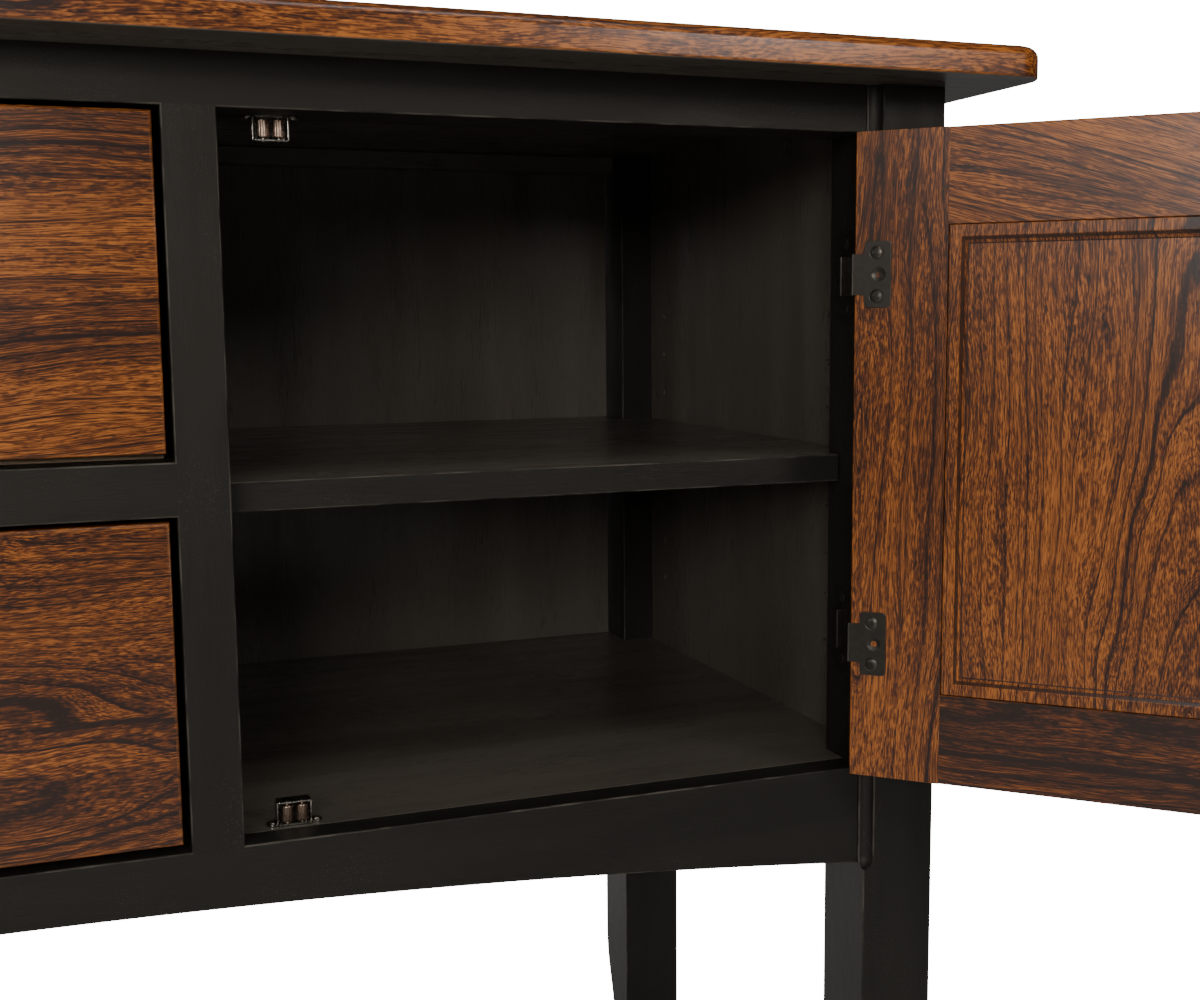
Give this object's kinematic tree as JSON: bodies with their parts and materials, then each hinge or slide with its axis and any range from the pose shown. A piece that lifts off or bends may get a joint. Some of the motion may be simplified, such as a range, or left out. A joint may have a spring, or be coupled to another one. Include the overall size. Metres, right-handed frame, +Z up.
{
  "type": "sideboard buffet",
  "caption": "Sideboard on four legs with a framed door at each side, stacked drawers between them, a shelf in each cupboard and an overhanging top.",
  "frame": {"origin": "on the floor, at the middle of the footprint box taken with the right door standing open at 135 degrees, as stored", "axes": "+Z up; +X to the right, along the front; +Y from the front to the back, so the doors and drawers face -Y"},
  "size_m": [1.558, 0.7378, 0.82],
  "materials": {
    "elm_wood": "satin, stained orange-brown with dark grain",
    "black_wood": "satin black paint, lightly rubbed at the edges",
    "drawer_wood": "matt clear",
    "black_metal": "satin black",
    "nickel": "bright",
    "roller_metal": "bright"
  },
  "bodies": {
    "case": {"tabletop": "elm_wood", "leg_front_left": "black_wood", "leg_rear_left": "black_wood", "leg_front_right": "black_wood", "leg_rear_right": "black_wood", "rail_front_top": "black_wood", "rail_front_bottom": "black_wood", "divider_left": "black_wood", "divider_right": "black_wood", "rail_drawer": "black_wood", "side_panel_left": "black_wood", "partition_left": "black_wood", "side_panel_right": "black_wood", "partition_right": "black_wood", "back_panel": "black_wood", "rail_rear_top": "black_wood", "rail_rear_bottom": "black_wood", "case_floor": "black_wood", "dust_panel": "black_wood", "shelf_left": "black_wood", "shelf_right": "black_wood", "hinge_left_top_frame_leaf": "black_metal", "hinge_left_bottom_frame_leaf": "black_metal", "hinge_right_top_frame_leaf": "black_metal", "hinge_right_bottom_frame_leaf": "black_metal", "catch_left_top": "nickel", "catch_left_bottom": "nickel", "catch_right_top": "nickel", "catch_right_bottom": "nickel"},
    "door_left": {"door_left_stile_hinge": "elm_wood", "door_left_stile_latch": "elm_wood", "door_left_rail_top": "elm_wood", "door_left_rail_bottom": "elm_wood", "door_left_panel": "elm_wood", "door_left_knob": "black_metal", "hinge_left_top_door_leaf": "black_metal", "hinge_left_bottom_door_leaf": "black_metal"},
    "door_right": {"door_right_stile_hinge": "elm_wood", "door_right_stile_latch": "elm_wood", "door_right_rail_top": "elm_wood", "door_right_rail_bottom": "elm_wood", "door_right_panel": "elm_wood", "door_right_knob": "black_metal", "hinge_right_top_door_leaf": "black_metal", "hinge_right_bottom_door_leaf": "black_metal"},
    "drawer_upper": {"drawer_upper_front": "elm_wood", "drawer_upper_box": "drawer_wood", "drawer_upper_bottom": "drawer_wood", "drawer_upper_knob": "black_metal"},
    "drawer_lower": {"drawer_lower_front": "elm_wood", "drawer_lower_box": "drawer_wood", "drawer_lower_bottom": "drawer_wood", "drawer_lower_knob": "black_metal"},
    "roller_right_top_left": {"catch_right_top_roller_left": "roller_metal"},
    "roller_right_top_right": {"catch_right_top_roller_right": "roller_metal"},
    "roller_right_bottom_left": {"catch_right_bottom_roller_left": "roller_metal"},
    "roller_right_bottom_right": {"catch_right_bottom_roller_right": "roller_metal"}
  },
  "joints": [
    {"name": "door_right_hinge", "type": "hinge", "parent": "case", "child": "door_right", "pos_m": [0.50965, -0.08841, 0.577], "axis": [0, 0, 1], "range_deg": [-135, 25]},
    {"name": "door_left_hinge", "type": "hinge", "parent": "case", "child": "door_left", "pos_m": [-0.68375, -0.08841, 0.577], "axis": [0, 0, 1], "range_deg": [-160, 0]},
    {"name": "drawer_upper_slide", "type": "slide", "parent": "case", "child": "drawer_upper", "axis": [0, -1, 0], "range_m": [0, 0.3]},
    {"name": "drawer_lower_slide", "type": "slide", "parent": "case", "child": "drawer_lower", "axis": [0, -1, 0], "range_m": [0, 0.3]},
    {"name": "catch_right_top_roller_left_spin", "type": "hinge", "parent": "case", "child": "roller_right_top_left", "pos_m": [0.15809, -0.06011, 0.7661], "axis": [0, 0, 1], "continuous": true},
    {"name": "catch_right_top_roller_right_spin", "type": "hinge", "parent": "case", "child": "roller_right_top_right", "pos_m": [0.16649, -0.06011, 0.7661], "axis": [0, 0, 1], "continuous": true},
    {"name": "catch_right_bottom_roller_left_spin", "type": "hinge", "parent": "case", "child": "roller_right_bottom_left", "pos_m": [0.15809, -0.06011, 0.3879], "axis": [0, 0, 1], "continuous": true},
    {"name": "catch_right_bottom_roller_right_spin", "type": "hinge", "parent": "case", "child": "roller_right_bottom_right", "pos_m": [0.16649, -0.06011, 0.3879], "axis": [0, 0, 1], "continuous": true}
  ]
}
